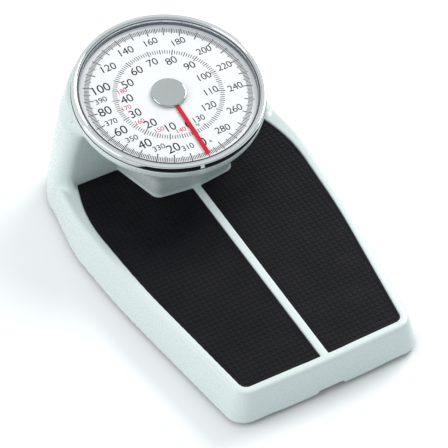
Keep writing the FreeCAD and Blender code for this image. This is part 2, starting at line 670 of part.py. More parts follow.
def load_hanger(x, y):
    """Stirrup that presses on a lever's load pin; its slots are open at the bottom."""
    top = DECK_UNDER_Z - 1.5
    ears = [box(x + dx, x + dx + 2, y - 7, y + 7, 13.5, top) for dx in (-7.0, 5.0)]
    head = box(x - 7, x + 7, y - 7, y + 7, top - 1.6, top)
    slot = fuse([cyl_x(PIN_R + 0.35, x - 9, x + 9, y, FULCRUM_Z),
                 box(x - 9, x + 9, y - PIN_R - 0.35, y + PIN_R + 0.35, 10, FULCRUM_Z)])
    return fuse(ears + [head]).cut(slot)


def cover_screws():
    return Part.makeCompound([fuse([cyl_z(3.6, x, y, 33.9, 35.9), cyl_z(2.0, x, y, 35, 39.4)])
                              for x, y in COVER_SCREWS])


def drilled(cover):
    """Blind screw holes in the underside of the deck."""
    return cover.cut(fuse([cyl_z(2.0, x, y, 34, 39.4) for x, y in COVER_SCREWS]))


# ---------------------------------------------------------------- all nodes
def build():
    mat_left, mat_right = mats()
    front_load, rear_load = FULCRUM_Y + LOAD_ARM, REAR_FULCRUM_Y - LOAD_ARM
    nodes = {
        "platform_cover": drilled(platform_cover()), "mat_left": mat_left,
        "mat_right": mat_right, "dial_bezel": dial_bezel(), "dial_lens": dial_lens(),
        "lens_gasket": lens_gasket(), "dial_chart": dial_chart(), "load_plate": load_plate(),
        "cover_screws": cover_screws(), "hub_cap": hub_cap(), "pointer": pointer(),
        "pointer_boss": pointer_boss(), "pointer_shaft": pointer_shaft(), "pinion": pinion(),
        "rack": rack(), "bell_crank": bell_crank(), "crank_bush": crank_bush(),
        "crank_pin": crank_pin(), "crank_bracket": crank_bracket(),
        "crank_pivot_pin": crank_pivot_pin(),
        "gear_plate_lower": gear_plate(PLATE_LOW, PLATE_LOW + PLATE_THICK),
        "gear_plate_upper": gear_plate(PLATE_HIGH, PLATE_HIGH + PLATE_THICK),
        "gear_pillars": gear_pillars(), "shaft_bush_lower": shaft_bush(PLATE_LOW),
        "shaft_bush_upper": shaft_bush(PLATE_HIGH), "rack_guide": rack_guide(),
        "dial_mast": dial_mast(), "base_pan": base_pan(), "foot_screws": foot_screws(),
        "foot_nuts": foot_nuts(), "spring_tower": spring_tower(), "zero_screw": zero_screw(),
        "zero_wheel": zero_wheel(), "spring_anchor": spring_anchor(),
        "main_spring": main_spring(), "lever_yoke": lever_yoke(),
    }
    for side, name in ((-1, "left"), (1, "right")):
        nodes[f"long_lever_{name}"] = long_lever(side)
        nodes[f"long_lever_pins_{name}"] = long_lever_pins(side)
        nodes[f"short_lever_{name}"] = short_lever(side)
        nodes[f"short_lever_pins_{name}"] = short_lever_pins(side)
        nodes[f"lever_link_{name}"] = lever_link(side)
        nodes[f"fulcrum_post_front_{name}"] = fulcrum_post(side * FULCRUM_X, FULCRUM_Y)
        nodes[f"fulcrum_post_rear_{name}"] = fulcrum_post(side * REAR_FULCRUM_X, REAR_FULCRUM_Y)
        nodes[f"load_hanger_front_{name}"] = load_hanger(side * lever_x(front_load), front_load)
        nodes[f"load_hanger_rear_{name}"] = load_hanger(side * short_x(rear_load), rear_load)
    for (x, y), name in zip(FEET, ("front_left", "front_right", "rear_left", "rear_right")):
        nodes[f"rubber_foot_{name}"] = rubber_foot(x, y)
    return nodes


def main():
    os.makedirs("parts", exist_ok=True)
    pivot, out_pin, nose_pin = crank_points()
    print("platform travel", PLATFORM_TRAVEL, "lever angle", math.degrees(LEVER_ANGLE))
    print("crank pivot", pivot, "nose pin", nose_pin, "crank turn", math.degrees(2 * CRANK_HALF))
    print("crank out", CRANK_OUT, "rack travel", RACK_TRAVEL)
    for name, shape in build().items():
        shape.exportStep(f"parts/{name}.step")
        box_ = shape.BoundBox
        print(f"{name:26s} {len(shape.Solids)} solid(s) valid {shape.isValid()} "
              f"volume {shape.Volume:10.1f} x {box_.XMin:.1f} {box_.XMax:.1f} "
              f"y {box_.YMin:.1f} {box_.YMax:.1f} z {box_.ZMin:.1f} {box_.ZMax:.1f}")


main()
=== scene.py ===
"""Looks of the mechanical dial platform scale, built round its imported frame.

The moulded cover is worked out as a distance field and meshed; the mats, bezel, button and
printed chart are meshed directly; the steel parts inside keep their CAD shape.
Lengths are in millimetres until a mesh is made, with the origin on the floor under the middle
of the object and the person standing on the mats looking along +Y.
"""

import json
import math

import bpy
import numpy as np
from mathutils import Matrix, Vector

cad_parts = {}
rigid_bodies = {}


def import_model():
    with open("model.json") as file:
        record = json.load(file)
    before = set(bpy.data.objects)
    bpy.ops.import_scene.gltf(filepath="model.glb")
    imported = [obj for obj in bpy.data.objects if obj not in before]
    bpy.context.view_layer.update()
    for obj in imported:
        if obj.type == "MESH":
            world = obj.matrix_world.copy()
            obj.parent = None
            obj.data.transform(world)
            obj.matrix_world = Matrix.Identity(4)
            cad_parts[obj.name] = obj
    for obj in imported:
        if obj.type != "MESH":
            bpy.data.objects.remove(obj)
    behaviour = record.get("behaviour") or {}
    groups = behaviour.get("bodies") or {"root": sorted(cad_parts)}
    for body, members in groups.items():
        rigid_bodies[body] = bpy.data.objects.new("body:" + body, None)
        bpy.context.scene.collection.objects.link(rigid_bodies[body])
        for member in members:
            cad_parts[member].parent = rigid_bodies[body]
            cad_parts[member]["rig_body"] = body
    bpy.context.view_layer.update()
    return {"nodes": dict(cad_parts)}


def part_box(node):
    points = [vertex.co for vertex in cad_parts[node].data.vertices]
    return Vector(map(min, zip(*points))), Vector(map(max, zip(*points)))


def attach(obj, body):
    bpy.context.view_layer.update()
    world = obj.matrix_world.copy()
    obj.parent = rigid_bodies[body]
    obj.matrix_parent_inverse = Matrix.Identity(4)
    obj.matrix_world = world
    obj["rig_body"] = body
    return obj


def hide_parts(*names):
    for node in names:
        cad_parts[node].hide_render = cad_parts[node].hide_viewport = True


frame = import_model()

MM = 0.001

# ---------------------------------------------------------------- driving dimensions
SKIRT_Z = 5.5
RIM_Z = 43.6
MAT_TOP_Z = 43.0
DECK_Z = 40.2
WALL = 2.6
Y_WALL = 126.1
STRIP_HALF = 4.8
STRIP_Z = 43.4
MAT_GAP = 0.3
NECK_GAP = 1.2

# right-hand corners of the plan outlines, front to back: x, y, corner radius
MAT_PLAN = [(0, -208.7, 1500), (93.5, -207.2, 9), (118.5, -40, 1000), (126.8, 76, 190),
            (112.5, 126.1, 0)]
RIM_PLAN = [(0, -218.6, 1500), (101.5, -216.6, 16), (129, -40, 1000), (138, 78, 190),
            (132.6, 139, 0)]
SKIRT_PLAN = [(0, -225.9, 1500), (109.5, -222.5, 22), (141, -22, 1000), (148, 66, 190),
              (138.2, 141, 0)]
NECK_PLANS = [(39, [(0, 61.5, 160), (45.5, 67.5, 10), (64.7, 136, 0)]),
              (70, [(0, 58.0, 160), (48.0, 64.0, 12), (66.5, 136, 0)]),
              (104, [(0, 46.0, 160), (56.0, 54.0, 18), (72.0, 136, 0)])]

# rear housing: height at the wall, tilt in degrees, half width, depth behind the wall
HOUSING = np.array([(5.5, 0.0, 138.7, 99.2), (43.0, 0.0, 133.6, 97.8), (84.7, 3.5, 124.5, 96.5),
                    (113.0, 7.0, 115.5, 97.0), (129.5, 9.0, 104.0, 100.0)])
HOUSING_CORNER = 15.0

# dial frame: u to the right, v uphill to the back, w out of the dial; w = 0 is the bezel's top
DIAL_Y, DIAL_Z, DIAL_TILT = 120.9, 139.0, math.radians(9)
BEZEL_R, BEZEL_BORE, BEZEL_DEPTH = 105.0, 96.4, 7.4
LIP_R, LIP_TOP = 105.8, -8.0
CHART_R, CHART_W = 99.2, -8.6
CHAMBER_W = -12.0
HUB_CAP_R, HUB_CAP_TOP, HUB_CAP_LOW = 19.3, -5.1, -7.8
LENS_TOP = -1.8

# underside of the dial pod: draft of the lip, then a cone from (radius, height)
LIP_DRAFT = 0.085
CONE_START, CONE_RUN, CONE_DROP, POD_LOW = (98.0, -24.4), 33.0, 15.6, -40.0

# cut-outs in the lower edge of the skirt: half width, height, and where they stop along Y
FRONT_NOTCH = (15.0, 3.2, -200.0)
WHEEL_SLOT = (20.0, 9.0, 200.0)


# ---------------------------------------------------------------- outlines
def mirrored(half):
    """Both sides of an outline given by its right-hand corners, front middle first."""
    return half + [(-x, y, r) for x, y, r in reversed(half) if x]


def offset(corners, inward):
    """Corner list of the same outline moved inward; corners run anticlockwise."""
    points = [Vector((x, y)) for x, y, _ in corners]
    moved = []
    for i, (_, _, radius) in enumerate(corners):
        before = (points[i] - points[i - 1]).normalized()
        after = (points[(i + 1) % len(points)] - points[i]).normalized()
        left_before = Vector((-before.y, before.x))
        left_after = Vector((-after.y, after.x))
        turn = before.x * after.y - before.y * after.x
        shift = (left_before + left_after) * (inward / (1 + left_before.dot(left_after)))
        corner = points[i] + shift
        change = -inward if turn > 0 else inward
        moved.append((corner.x, corner.y, max(radius + change, 0.02) if radius else 0.0))
    return moved


def outline(corners, arc_steps=12):
    """Points round an outline, with a tangent arc at each rounded corner."""
    points = [Vector((x, y)) for x, y, _ in corners]
    ring = []
    for i, (_, _, radius) in enumerate(corners):
        here = points[i]
        back = (points[i - 1] - here).normalized()
        ahead = (points[(i + 1) % len(points)] - here).normalized()
        if not radius:
            ring.append(here)
            continue
        half = back.angle(ahead) / 2
        centre = here + (back + ahead).normalized() * (radius / math.sin(half))
        start = here + back * (radius / math.tan(half)) - centre
        end = here + ahead * (radius / math.tan(half)) - centre
        sweep = start.angle_signed(end)
        for k in range(arc_steps + 1):
            spoke = start.copy()
            spoke.rotate(Matrix.Rotation(-sweep * k / arc_steps, 2))
            ring.append(centre + spoke)
    return np.array([(p.x, p.y) for p in ring])


def outline_distance(ring, x, y):
    """Signed distance from plan points to a closed outline, negative inside."""
    nearest = np.full(x.shape, np.inf)
    inside = np.zeros(x.shape, bool)
    for (ax, ay), (bx, by) in zip(ring, np.roll(ring, -1, axis=0)):
        ex, ey = bx - ax, by - ay
        length = ex * ex + ey * ey
        if length < 1e-12:
            continue
        share = np.clip(((x - ax) * ex + (y - ay) * ey) / length, 0, 1)
        gap = (x - ax - share * ex) ** 2 + (y - ay - share * ey) ** 2
        nearest = np.minimum(nearest, gap)
        crosses = (ay > y) != (by > y)
        if ey:
            inside ^= crosses & (x < (y - ay) * ex / ey + ax)
    return np.where(inside, -1, 1) * np.sqrt(nearest)


# ---------------------------------------------------------------- distance fields
def smoothstep(low, high, value):
    """Smooth rise from 0 at low to 1 at high; low may be the larger of the two."""
    share = np.clip((value - low) / (high - low), 0, 1)
    return share * share * (3 - 2 * share)


def blend_union(a, b, reach):
    """Union of two fields with a fillet of about that reach."""
    near = np.maximum(reach - np.abs(a - b), 0)
    return np.minimum(a, b) - near * near / np.maximum(4 * reach, 1e-6)


def round_cut(a, b, radius):
    """Intersection of two fields whose shared edge has that radius."""
    p, q = a + radius, b + radius
    return (np.hypot(np.maximum(p, 0), np.maximum(q, 0)) + np.minimum(np.maximum(p, q), 0)
            - radius)


def deck_field(skirt, rim, z):
    share = np.clip((z - SKIRT_Z) / (RIM_Z - 3 - SKIRT_Z), -0.5, 1.2)
    side = skirt * (1 - share) + rim * share
    return round_cut(side, z - RIM_Z, 3.6)


def recess_field(mat, z):
    return np.maximum(mat, DECK_Z - z)


def neck_field(plans, z):
    levels = [z_level for z_level, _ in NECK_PLANS]
    lower = np.clip((z - levels[0]) / (levels[1] - levels[0]), 0, 1)
    upper = np.clip((z - levels[1]) / (levels[2] - levels[1]), 0, 1.15)
    side = plans[0] * (1 - lower) + plans[1] * lower
    side = side * (1 - upper) + plans[2] * upper
    return np.maximum(side, z - 112)


def housing_field(x, y, z):
    """D-shaped housing whose sections lean back more and more towards the dial."""
    behind = y - Y_WALL
    level = z
    for _ in range(3):
        level = z - behind * np.tan(np.radians(np.interp(level, HOUSING[:, 0], HOUSING[:, 1])))
    half = np.interp(level, HOUSING[:, 0], HOUSING[:, 2])
    depth = np.interp(level, HOUSING[:, 0], HOUSING[:, 3]) - HOUSING_CORNER
    back = behind - HOUSING_CORNER
    wide, deep = np.abs(x) / half, back / depth
    reach = np.hypot(wide, deep)
    slope = np.hypot(wide / half, deep / depth)
    oval = (reach - 1) * reach / np.maximum(slope, 1e-6)
    front = round_cut(np.abs(x) - half, -behind, HOUSING_CORNER)
    return round_cut(np.where(back > 0, oval, front), level - HOUSING[-1, 0], 2.0)


def pod_field(r, w):
    """Round pod under the dial: upright lip, then a shallow cone."""
    side = r - LIP_R + LIP_DRAFT * np.maximum(LIP_TOP - w, 0)
    along, down = r - CONE_START[0], w - CONE_START[1]
    cone = (along * CONE_DROP - down * CONE_RUN) / math.hypot(CONE_RUN, CONE_DROP)
    pod = round_cut(side, cone, 5.0)
    pod = round_cut(pod, w - LIP_TOP, 0.8)
    return np.maximum(pod, POD_LOW - w)


def cover_field(x_line, y_line, z_line):
    """Field of the whole cover: outside form, wall thickness, dial seat and cut-outs."""
    x2, y2 = np.meshgrid(x_line, y_line, indexing="ij")

    def plan(corners):
        ring = outline(mirrored(corners), 8)
        return outline_distance(ring, x2, y2)[:, :, None].astype(np.float32)

    x = x_line[:, None, None].astype(np.float32)
    y = y_line[None, :, None].astype(np.float32)
    z = z_line[None, None, :].astype(np.float32)
    cos, sin = math.cos(DIAL_TILT), math.sin(DIAL_TILT)
    v = (y - DIAL_Y) * cos + (z - DIAL_Z) * sin
    w = (z - DIAL_Z) * cos - (y - DIAL_Y) * sin
    r = np.hypot(x, v)

    rim = plan(RIM_PLAN)
    neck_plans = [plan(corners) for _, corners in NECK_PLANS]
    mat = np.maximum(plan(MAT_PLAN), NECK_GAP - neck_plans[0])
    deck = deck_field(plan(SKIRT_PLAN), rim, z)
    deck = round_cut(deck, -recess_field(mat, z), 0.7)
    strip = round_cut(np.abs(x) - STRIP_HALF, z - STRIP_Z, 1.6)
    strip = np.maximum(np.maximum(strip, -212 - y), np.maximum(y - 70, DECK_Z - 1 - z))
    deck = np.minimum(deck, strip)
    fillet = 14 * smoothstep(25, 43, z) * (0.35 + 0.65 * smoothstep(2, 12, -rim))
    fillet = fillet * smoothstep(0, 4, mat)
    body = blend_union(deck, housing_field(x, y, z), fillet)
    body = blend_union(body, neck_field(neck_plans, z), 3.0)
    flare = 12 * smoothstep(LIP_TOP - 3, LIP_TOP - 12, w) * smoothstep(95, 60, v)
    body = blend_union(body, pod_field(r, w), flare)
    body = np.maximum(body, w - LIP_TOP)

    cavity = np.maximum(body + WALL, w - CHAMBER_W)
    seat = np.maximum(r - CHART_R - 0.5, CHART_W - 1 - w)
    opening = np.maximum(r - 88, CHAMBER_W - 3 - w)
    shell = np.maximum(body, -cavity)
    shell = np.maximum(shell, -seat)
    shell = np.maximum(shell, -opening)
    half, high, stop = FRONT_NOTCH
    notch = np.maximum(np.maximum(np.abs(x) - half, y - stop), z - SKIRT_Z - high)
    half, high, start = WHEEL_SLOT
    slot = np.maximum(np.maximum(np.abs(x) - half, start - y), z - SKIRT_Z - high)
    shell = np.maximum(shell, -np.minimum(notch, slot))
    return np.maximum(shell, SKIRT_Z - z)


# ---------------------------------------------------------------- meshing a field
CELL_EDGES = [(0, 4), (1, 5), (2, 6), (3, 7), (0, 2), (1, 3), (4, 6), (5, 7), (0, 1), (2, 3),
              (4, 5), (6, 7)]


def surface_net(field, origin, step):
    """Quads where a sampled field is zero, with one point in each cell that it crosses."""
    inside = field < 0
    cells = tuple(n - 1 for n in field.shape)
    corners = [(i >> 2 & 1, i >> 1 & 1, i & 1) for i in range(8)]
    views = [inside[a:a + cells[0], b:b + cells[1], c:c + cells[2]] for a, b, c in corners]
    count = sum(view.astype(np.int8) for view in views)
    active = np.argwhere((count > 0) & (count < 8))
    number = np.full(cells, -1, np.int32)
    number[tuple(active.T)] = np.arange(len(active))
    values = np.stack([field[tuple((active + corner).T)] for corner in corners], axis=1)
    total = np.zeros((len(active), 3))
    hits = np.zeros(len(active))
    for a, b in CELL_EDGES:
        crossed = (values[:, a] < 0) != (values[:, b] < 0)
        gap = values[:, a] - values[:, b]
        share = np.where(crossed, values[:, a] / np.where(crossed, gap, 1), 0)[:, None]
        start, end = np.array(corners[a]), np.array(corners[b])
        total += np.where(crossed[:, None], start + share * (end - start), 0)
        hits += crossed
    points = origin + (active + total / hits[:, None]) * step
    quads = []
    for axis in range(3):
        one, two = (axis + 1) % 3, (axis + 2) % 3
        low = np.take(inside, range(field.shape[axis] - 1), axis)
        high = np.take(inside, range(1, field.shape[axis]), axis)
        for here, there, order in ((low, high, 1), (high, low, -1)):
            edge = np.argwhere(here & ~there)
            edge = edge[(edge[:, one] > 0) & (edge[:, two] > 0)]
            edge = edge[(edge[:, one] < cells[one]) & (edge[:, two] < cells[two])]
            ring = []
            for back_one, back_two in ((1, 1), (0, 1), (0, 0), (1, 0))[::order]:
                cell = edge.copy()
                cell[:, one] -= back_one
                cell[:, two] -= back_two
                ring.append(number[tuple(cell.T)])
            quads.append(np.stack(ring, axis=1))
    return points, np.concatenate(quads)


def field_at(field, origin, step, points):
    """Field and its slope at points inside the grid, by trilinear interpolation."""
    place = (points - origin) / step
    base = np.clip(np.floor(place).astype(int), 0, np.array(field.shape) - 2)
    part = place - base
    corner = {}
    for a in (0, 1):
        for b in (0, 1):
            for c in (0, 1):
                corner[a, b, c] = field[base[:, 0] + a, base[:, 1] + b, base[:, 2] + c]
    value = np.zeros(len(points))
    slope = np.zeros((len(points), 3))
    for (a, b, c), sample in corner.items():
        weights = [part[:, i] if bit else 1 - part[:, i] for i, bit in enumerate((a, b, c))]
        signs = [1 if bit else -1 for bit in (a, b, c)]
        value += sample * weights[0] * weights[1] * weights[2]
        slope[:, 0] += sample * signs[0] * weights[1] * weights[2] / step
        slope[:, 1] += sample * signs[1] * weights[0] * weights[2] / step
        slope[:, 2] += sample * signs[2] * weights[0] * weights[1] / step
    return value, slope


def relax(points, quads, field, origin, step, rounds):
    """Even out the net along the surface, drawing each point back to the zero level."""
    starts = quads.ravel()
    ends = np.roll(quads, -1, axis=1).ravel()
    links = np.bincount(starts, minlength=len(points)) + np.bincount(ends, minlength=len(points))
    still = np.abs(points[:, 0]) < step * 0.01
    for _ in range(rounds):
        total = np.zeros_like(points)
        for axis in range(3):
            total[:, axis] = np.bincount(starts, points[ends, axis], len(points))
            total[:, axis] += np.bincount(ends, points[starts, axis], len(points))
        points = points + 0.5 * (total / links[:, None] - points)
        points[still, 0] = 0
        value, slope = field_at(field, origin, step, points)
        size = np.maximum((slope ** 2).sum(1), 0.25)
        pull = np.clip(value / size, -0.5 * step, 0.5 * step)
        points = points - slope * pull[:, None]
        points[still, 0] = 0
    return points


# ---------------------------------------------------------------- mesh helpers
def dial_matrix():
    return (Matrix.Translation((0, DIAL_Y, DIAL_Z)) @ Matrix.Rotation(DIAL_TILT, 4, "X"))


def mesh_object(name, points, faces, placed=Matrix.Identity(4), smooth_angle=None):
    """Object from points in millimetres; smooth_angle in degrees shades gentler edges smooth."""
    mesh = bpy.data.meshes.new(name)
    mesh.from_pydata([tuple(p) for p in points], [], [tuple(int(i) for i in f) for f in faces])
    mesh.transform(Matrix.Scale(MM, 4) @ placed)
    mesh.update()
    mesh.validate()
    piece = bpy.data.objects.new(name, mesh)
    bpy.context.scene.collection.objects.link(piece)
    if smooth_angle is not None:
        mesh.shade_smooth()
        if smooth_angle < 180:
            mesh.set_sharp_from_angle(angle=math.radians(smooth_angle))
    return piece


def lathe(name, profile, placed, steps=192, smooth_angle=35):
    """Ring from a closed (radius, height) profile turned about its own axis."""
    count = len(profile)
    angles = [2 * math.pi * k / steps for k in range(steps)]
    points = [(r * math.cos(a), r * math.sin(a), h) for a in angles for r, h in profile]
    faces = []
    for k in range(steps):
        here, there = k * count, (k + 1) % steps * count
        for i in range(count):
            j = (i + 1) % count
            faces.append((here + i, there + i, there + j, here + j))
    return mesh_object(name, points, faces, placed, smooth_angle)


def arc(cx, cy, radius, start, end, steps=6):
    """Points of a circular arc in a profile, angles in degrees."""
    span = [math.radians(start + (end - start) * k / steps) for k in range(steps + 1)]
    return [(cx + radius * math.cos(a), cy + radius * math.sin(a)) for a in span]


def join_meshes(meshes):
    """One (points, faces) pair from several."""
    points, faces = [], []
    for some_points, some_faces in meshes:
        faces += [tuple(i + len(points) for i in face) for face in some_faces]
        points += list(some_points)
    return points, faces


# ---------------------------------------------------------------- cover
def cover_shell(step=1.4):
    """Moulded cover: rim, skirt, centre strip, neck, dial pod and rear housing in one shell."""
    low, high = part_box("platform_cover")
    y0, y1 = low.y / MM - 3 * step, high.y / MM + 3 * step
    x_line = (np.arange(int(high.x / MM / step) + 4) - 0.5) * step
    y_line = y0 + np.arange(int((y1 - y0) / step) + 1) * step
    z_line = SKIRT_Z - 2.5 * step + np.arange(int((high.z / MM - SKIRT_Z) / step) + 6) * step
    field = cover_field(x_line, y_line, z_line)
    origin = np.array([x_line[0], y_line[0], z_line[0]])
    points, quads = surface_net(field, origin, step)
    points = relax(points, quads, field, origin, step, 10)
    right = len(points)
    middle = np.abs(points[:, 0]) < step * 0.02
    twin = np.where(middle, np.arange(right), np.cumsum(~middle) - 1 + right)
    both = np.concatenate([points, points[~middle] * (-1, 1, 1)])
    faces = np.concatenate([quads, twin[quads][:, ::-1]])
    return mesh_object("cover_shell", both, faces, smooth_angle=60)


# ---------------------------------------------------------------- mats
MAT_BORDER = 2.4
MAT_FLOOR_Z = 42.45
PAD_PITCH, PAD_FOOT, PAD_HEAD = 6.0, 2.3, 1.8


def mat_corners():
    """Right-hand mat before its clearance gap, anticlockwise from the strip's front end."""
    front, side, waist, hip, back = MAT_PLAN
    (_, neck_front, _), (neck_x, neck_y, neck_r), (wide_x, wide_y, _) = NECK_PLANS[0][1]
    slope = (wide_x - neck_x) / (wide_y - neck_y)
    out = NECK_GAP / math.cos(math.atan(slope))
    meets_wall = neck_x + out + (Y_WALL - neck_y) * slope
    front_slope = (neck_y - neck_front) / neck_x
    return [(STRIP_HALF, front[1], 1.5), side, waist, hip, (back[0], Y_WALL, 2.0),
            (meets_wall, Y_WALL, 1.0), (neck_x + out * 0.9, neck_y - NECK_GAP * 0.9, neck_r + 1),
            (STRIP_HALF, neck_front + STRIP_HALF * front_slope - NECK_GAP, 1.5)]


def clip_by(ring, axis, limit, keep_above):
    """The part of a polygon on one side of a line parallel to an axis."""
    kept = []
    for i, here in enumerate(ring):
        before = ring[i - 1]
        here_in = (here[axis] >= limit) == keep_above
        before_in = (before[axis] >= limit) == keep_above
        if here_in != before_in:
            share = (limit - before[axis]) / (here[axis] - before[axis])
            kept.append(tuple(before[k] + share * (here[k] - before[k]) for k in (0, 1)))
        if here_in:
            kept.append(tuple(here))
    return kept


def pads(ring):
    """Raised squares over the mat, trimmed where they meet its border."""
    (x0, y0), (x1, y1) = ring.min(0), ring.max(0)
    shapes = []
    columns = range(int(x0 // PAD_PITCH), int(x1 // PAD_PITCH) + 1)
    rows = range(int(y0 // PAD_PITCH), int(y1 // PAD_PITCH) + 1)
    for i in columns:
        strip = [tuple(p) for p in ring]
        x = (i + 0.5) * PAD_PITCH
        strip = clip_by(clip_by(strip, 0, x - PAD_FOOT, True), 0, x + PAD_FOOT, False)
        if len(strip) < 3:
            continue
        for j in rows:
            y = (j + 0.5) * PAD_PITCH
            part = clip_by(clip_by(strip, 1, y - PAD_FOOT, True), 1, y + PAD_FOOT, False)
            spread = np.ptp(np.array(part), axis=0).min() if len(part) >= 3 else 0
            if spread < 0.8:
                continue
            centre = np.mean(part, axis=0)
            share = PAD_HEAD / PAD_FOOT
            foot = [(px, py, MAT_FLOOR_Z - 0.15) for px, py in part]
            head = [(centre[0] + (px - centre[0]) * share, centre[1] + (py - centre[1]) * share,
                     MAT_TOP_Z) for px, py in part]
            n = len(part)
            sides = [(k, (k + 1) % n, n + (k + 1) % n, n + k) for k in range(n)]
            shapes.append((foot + head, sides + [tuple(range(2 * n - 1, n - 1, -1))[::-1],
                                                 tuple(range(n))[::-1]]))
    return shapes


def mat(side, name):
    """Rubber mat with a plain rounded border round a field of raised squares."""
    corners = mat_corners()
    levels = [(MAT_GAP, DECK_Z + 0.05), (MAT_GAP, MAT_TOP_Z - 0.6), (MAT_GAP + 0.2, MAT_TOP_Z - 0.2),
              (MAT_GAP + 0.6, MAT_TOP_Z), (MAT_BORDER, MAT_TOP_Z), (MAT_BORDER + 0.4, MAT_FLOOR_Z)]
    rings = [outline(offset(corners, inward), 10) for inward, _ in levels]
    count = len(rings[0])
    points = [(px, py, z) for ring, (_, z) in zip(rings, levels) for px, py in ring]
    faces = []
    for k in range(len(levels) - 1):
        for i in range(count):
            j = (i + 1) % count
            faces.append((k * count + i, k * count + j, (k + 1) * count + j, (k + 1) * count + i))
    faces.append(tuple(range((len(levels) - 1) * count, len(levels) * count)))
    faces.append(tuple(range(count))[::-1])
    inner = outline(offset(corners, MAT_BORDER + 0.9), 10)
    points, faces = join_meshes([(points, faces)] + pads(inner))
    points = [(side * px, py, pz) for px, py, pz in points]
    if side < 0:
        faces = [face[::-1] for face in faces]
    return mesh_object(name, points, faces)


# ---------------------------------------------------------------- dial
def bezel_ring():
    """Bright bezel: upright wall, rolled top edge, and a step inside that holds the lens."""
    outer = BEZEL_R
    profile = [(BEZEL_BORE, -BEZEL_DEPTH - 1.2), (CHART_R, -BEZEL_DEPTH - 1.2),
               (CHART_R, -BEZEL_DEPTH), (outer - 0.4, -BEZEL_DEPTH), (outer, -BEZEL_DEPTH + 0.4)]
    profile += arc(outer - 2.0, -2.05, 2.0, 0, 90, 8)
    profile += arc(outer - 3.4, -2.45, 2.4, 90, 160, 8)
    profile += [(BEZEL_BORE + 0.2, LENS_TOP + 0.1), (BEZEL_BORE, LENS_TOP - 0.2)]
    return lathe("bezel_ring", profile, dial_matrix(), 256)


def bezel_seam():
    """Painted shadow: a dark ring in the gap between the bezel's foot and the lip of the cover,
    standing in for the shade in that gap.
    """
    low, high = LIP_TOP + 0.02, -BEZEL_DEPTH + 0.02
    return lathe("bezel_seam", [(CHART_R + 0.1, low), (BEZEL_R + 0.4, low),
                                (BEZEL_R + 0.4, high), (CHART_R + 0.1, high)],
                 dial_matrix(), 256)


def lens_seam():
    """Dark line of the gasket between the bezel's rolled edge and the lens."""
    inner, outer = BEZEL_BORE + 0.3, BEZEL_BORE + 1.9
    return lathe("lens_seam", [(inner, LENS_TOP + 0.08), (outer, LENS_TOP + 0.2),
                               (outer, LENS_TOP + 0.34), (inner, LENS_TOP + 0.22)],
                 dial_matrix(), 256)


def bezel_inner():
    """Satin ring inside the bezel, from the chart up to the lens; its dark colour is painted shade
    on the bezel's inner wall.
    """
    low, high = CHART_W + 0.1, LENS_TOP - 2.1
    inner = BEZEL_BORE - 0.35
    return lathe("bezel_inner", [(inner, low + 0.3), (inner, high), (inner + 0.3, high),
                                 (inner + 0.3, low), (inner + 0.2, low)], dial_matrix(), 256)


def centre_button():
    """Flat-topped bright button over the pointer's hub."""
    low = HUB_CAP_LOW
    profile = [(0.01, HUB_CAP_TOP - 1.2), (17.4, HUB_CAP_TOP - 1.2), (17.9, low),
               (HUB_CAP_R, low), (HUB_CAP_R, HUB_CAP_TOP - 1.4)]
    profile += arc(HUB_CAP_R - 1.4, HUB_CAP_TOP - 1.4, 1.4, 0, 90, 8) + [(0.01, HUB_CAP_TOP)]
    return lathe("centre_button", profile, dial_matrix(), 128)


# ---------------------------------------------------------------- printed chart
INK_LOW, INK_TOP = CHART_W - 0.02, CHART_W + 0.05
LB_TURN, KG_TURN = 300.0, 136.08


def around(value, turn):
    """Angle of a reading, clockwise from the user's side of the dial."""
    return 2 * math.pi * value / turn


def tick_box(angle, inner, outer, width):
    """One printed line of the scale, as a thin box."""
    reach = (-math.sin(angle), -math.cos(angle))
    side = (-reach[1], reach[0])
    points = []
    for z in (INK_LOW, INK_TOP):
        for r, s in ((inner, -1), (outer, -1), (outer, 1), (inner, 1)):
            points.append((reach[0] * r + side[0] * s * width / 2,
                           reach[1] * r + side[1] * s * width / 2, z))
    return points, [(0, 3, 2, 1), (4, 5, 6, 7), (0, 1, 5, 4), (1, 2, 6, 5), (2, 3, 7, 6),
                    (3, 0, 4, 7)]


def tick_ring(name, turn, grades):
    """Ticks at each whole unit; grades give (every, inner, outer, width), coarse first."""
    boxes = []
    for unit in range(math.ceil(turn)):
        for every, inner, outer, width in grades:
            if unit % every == 0:
                boxes.append(tick_box(around(unit, turn), inner, outer, width))
                break
    points, faces = join_meshes(boxes)
    return mesh_object(name, points, faces, dial_matrix())


def lettering(name, texts):
    """One mesh of upright numerals; texts are (text, u, v, height)."""
    parts = []
    for text, u, v, height in texts:
        curve = bpy.data.curves.new(name, "FONT")
        curve.body = text
        curve.size = height / 0.73
        curve.align_x, curve.align_y = "CENTER", "CENTER"
        curve.space_character = 0.96
        curve.extrude = (INK_TOP - INK_LOW) / 2
        curve.resolution_u = 6
        holder = bpy.data.objects.new(name, curve)
        bpy.context.scene.collection.objects.link(holder)
        bpy.context.view_layer.update()
        mesh = bpy.data.meshes.new_from_object(holder.evaluated_get(
            bpy.context.evaluated_depsgraph_get()))
        middle = (INK_LOW + INK_TOP) / 2
        points = [(p.co.x + u, p.co.y + v, p.co.z + middle) for p in mesh.vertices]
        parts.append((points, [tuple(f.vertices) for f in mesh.polygons]))
        bpy.data.objects.remove(holder)
        bpy.data.curves.remove(curve)
        bpy.data.meshes.remove(mesh)
    points, faces = join_meshes(parts)
    return mesh_object(name, points, faces, dial_matrix())


def numerals(name, turn, radius, readings, zero_aside=0.0):
    """Numerals round the dial; readings are (value, angle reading, height).

    A zero can stand a little to the right, so that it can be read beside the pointer.
    """
    texts = []
    for value, reading, height in readings:
        a = around(reading, turn)
        aside = 0 if value else zero_aside
        texts.append((str(value), aside - radius * math.sin(a), -radius * math.cos(a), height))
    return lettering(name, texts)


